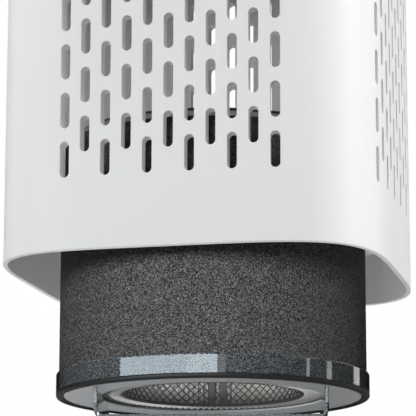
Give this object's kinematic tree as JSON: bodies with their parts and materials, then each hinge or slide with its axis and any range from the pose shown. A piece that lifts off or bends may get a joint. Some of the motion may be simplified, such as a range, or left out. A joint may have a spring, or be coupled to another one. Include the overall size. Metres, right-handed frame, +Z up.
{
  "type": "tower air purifier",
  "caption": "Tower air purifier: white rounded-square slotted casing, open at the bottom, with a round carbon filter cartridge drawn out below on a clear pull handle.",
  "frame": {"origin": "middle of the pull handle's flat underside, on the casing's vertical axis, where the object stands", "axes": "+Z up along the casing's axis; -Y is the front, the side with the buttons; +X is the right-hand side seen from the front"},
  "size_m": [0.24, 0.24, 0.4754],
  "materials": {
    "white_shell": "satin white moulded plastic",
    "dark_plastic": "fine-grained dark plastic",
    "grey_plastic": "light grey glossy plastic",
    "black_rubber": "smooth black rubber",
    "impeller_plastic": "glass-filled dark plastic",
    "copper_winding": "varnished copper winding on a laminated core",
    "steel": "bright zinc-plated steel",
    "smoked_window": "smoked glossy lens",
    "circuit_board": "green solder mask",
    "transformer_wrap": "yellow tape over a ferrite core",
    "capacitor_can": "dark sleeved can",
    "clear_plastic": "clear polished plastic",
    "carbon_granules": "packed grey-black carbon granules, matt",
    "dark_mesh": "dark perforated tube",
    "filter_paper": "white pleated paper"
  },
  "bodies": {
    "housing": {"outer_shell": "white_shell", "top_cover": "white_shell", "fan_deck": "dark_plastic", "fan_casing": "dark_plastic", "motor_bracket": "dark_plastic", "inlet_guard": "dark_plastic", "power_inlet": "dark_plastic", "power_switch": "dark_plastic", "speed_switch": "dark_plastic", "dust_sensor": "dark_plastic", "power_tray": "dark_plastic", "outlet_grille": "grey_plastic", "sensor_cover": "grey_plastic", "collar_seal": "black_rubber", "motor_stator": "copper_winding", "lower_bearing": "steel", "upper_bearing": "steel", "display_window": "smoked_window", "control_board": "circuit_board", "power_board": "circuit_board", "transformer": "transformer_wrap", "capacitor": "capacitor_can", "deck_screw_1": "steel", "deck_screw_2": "steel", "deck_screw_3": "steel", "deck_screw_4": "steel", "casing_screw_1": "steel", "casing_screw_2": "steel", "casing_screw_3": "steel", "casing_screw_4": "steel", "bracket_screw_1": "steel", "bracket_screw_2": "steel", "bracket_screw_3": "steel", "bracket_screw_4": "steel", "board_screw_1": "steel", "board_screw_2": "steel"},
    "filter_cartridge": {"bead_ring": "black_rubber", "bottom_plate": "grey_plastic", "bottom_window": "clear_plastic", "clear_skirt": "clear_plastic", "carbon_bed": "carbon_granules", "bed_tube": "dark_mesh", "pleated_media": "filter_paper", "core_tube": "dark_mesh", "top_ring": "grey_plastic", "top_gasket": "black_rubber", "pull_handle": "clear_plastic"},
    "fan_rotor": {"impeller": "impeller_plastic", "motor_rotor": "steel", "motor_shaft": "steel", "shaft_nut": "steel"},
    "power_button": {"power_button": "grey_plastic"},
    "speed_button": {"speed_button": "grey_plastic"}
  },
  "joints": [
    {"name": "filter_slide", "type": "slide", "parent": "housing", "child": "filter_cartridge", "axis": [0, 0, -1], "range_m": [-0.135, 0.095]},
    {"name": "fan_spin", "type": "hinge", "parent": "housing", "child": "fan_rotor", "pos_m": [0, 0, 0.3], "axis": [0, 0, 1], "continuous": true},
    {"name": "power_button_press", "type": "slide", "parent": "housing", "child": "power_button", "axis": [0, 0, -1], "range_m": [0, 0.001], "stiffness_N_per_m": 400, "springref_m": -0.0005},
    {"name": "speed_button_press", "type": "slide", "parent": "housing", "child": "speed_button", "axis": [0, 0, -1], "range_m": [0, 0.001], "stiffness_N_per_m": 400, "springref_m": -0.0005}
  ]
}
